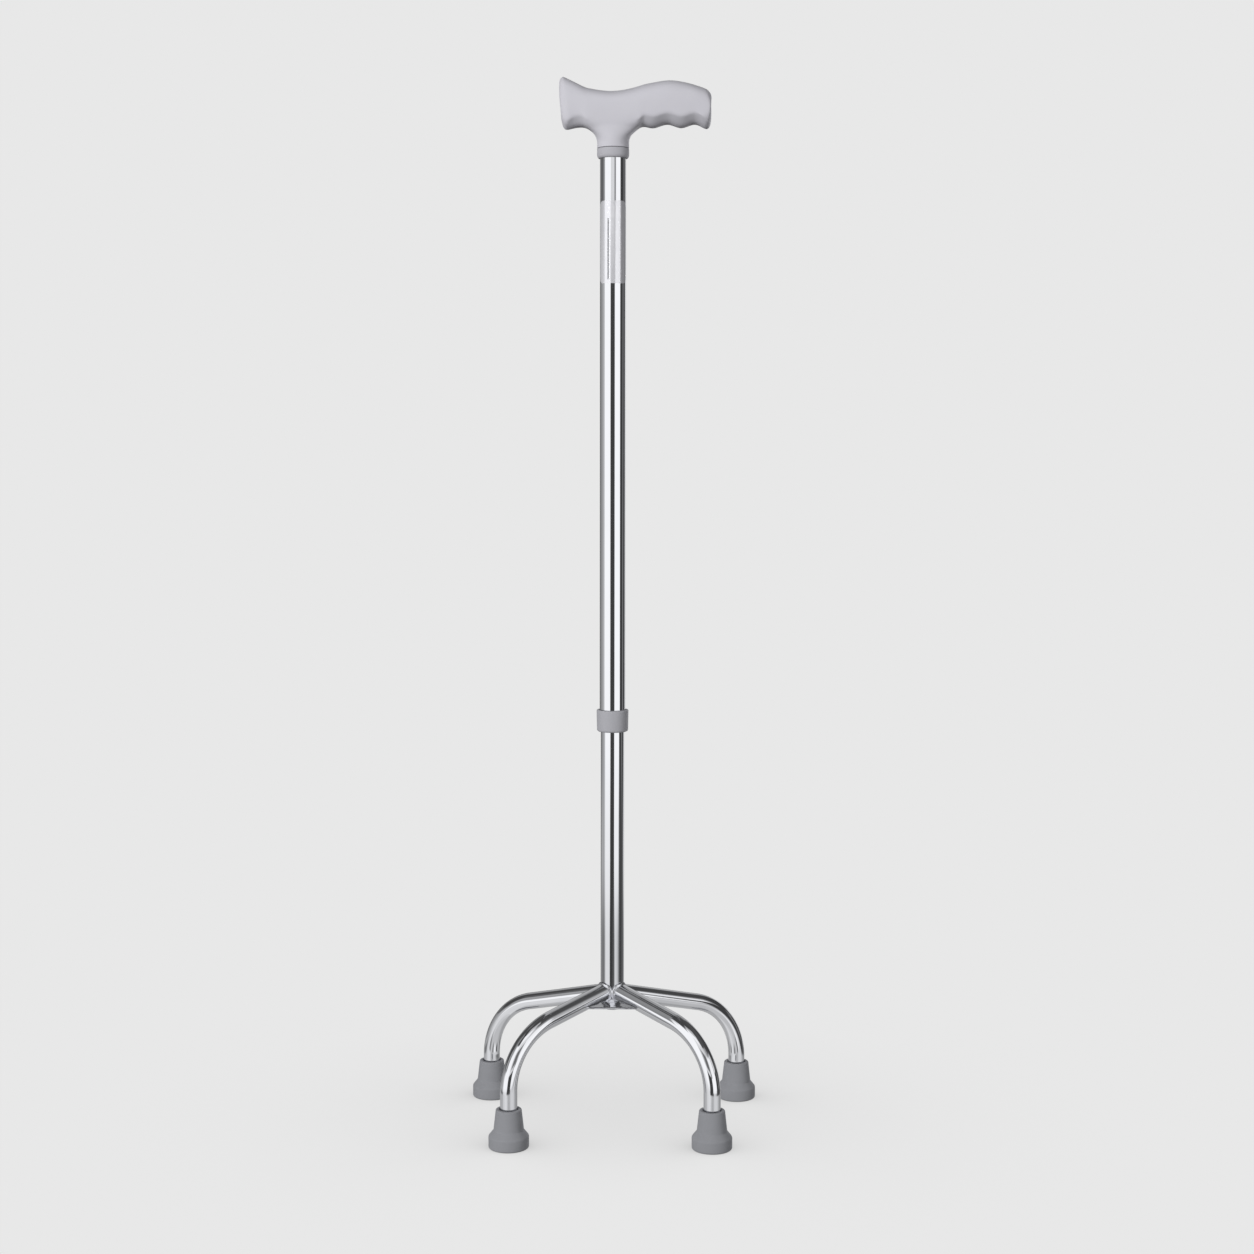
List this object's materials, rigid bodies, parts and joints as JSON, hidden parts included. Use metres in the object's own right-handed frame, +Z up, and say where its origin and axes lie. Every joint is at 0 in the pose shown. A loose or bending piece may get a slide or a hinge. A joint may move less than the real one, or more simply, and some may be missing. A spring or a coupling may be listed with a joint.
{
  "type": "quad cane",
  "caption": "Height-adjustable quad cane: chromed telescopic shaft with a moulded T grip, on a small base of bent tube legs with rubber feet.",
  "frame": {"origin": "on the floor, under the shaft's axis, midway between the four feet", "axes": "+Z up along the shaft; the grip lies along X with its nose at -X; the narrower pair of feet is in front at -Y; the height holes and the button are at the back, +Y"},
  "size_m": [0.2564, 0.1762, 0.9035],
  "materials": {
    "chromed_steel": "bright chrome plate",
    "grip_plastic": "fine moulded texture, light grey",
    "collar_plastic": "moulded, mid grey",
    "guide_plastic": "moulded, black",
    "foot_rubber": "moulded rubber, dark grey",
    "zinc_steel": "zinc plated"
  },
  "bodies": {
    "base": {"lower_tube": "chromed_steel", "guide_bush": "guide_plastic", "stem_cap": "guide_plastic", "button_spring": "zinc_steel", "gusset_front": "chromed_steel", "gusset_back": "chromed_steel", "leg_front_left": "chromed_steel", "foot_front_left": "foot_rubber", "foot_disc_front_left": "zinc_steel", "leg_front_right": "chromed_steel", "foot_front_right": "foot_rubber", "foot_disc_front_right": "zinc_steel", "leg_back_left": "chromed_steel", "foot_back_left": "foot_rubber", "foot_disc_back_left": "zinc_steel", "leg_back_right": "chromed_steel", "foot_back_right": "foot_rubber", "foot_disc_back_right": "zinc_steel"},
    "upper": {"upper_tube": "chromed_steel", "height_collar": "collar_plastic", "neck_ring": "grip_plastic", "grip": "grip_plastic", "grip_screw": "zinc_steel"},
    "button": {"snap_button": "zinc_steel"}
  },
  "joints": [
    {"name": "height_adjust", "type": "slide", "parent": "base", "child": "upper", "axis": [0, 0, 1], "range_m": [-0.20955, 0.01905]},
    {"name": "snap_button_press", "type": "slide", "parent": "base", "child": "button", "axis": [0, -1, 0], "range_m": [0, 0.004], "stiffness_N_per_m": 1200, "springref_m": -0.001, "deforming": ["button_spring"]}
  ]
}
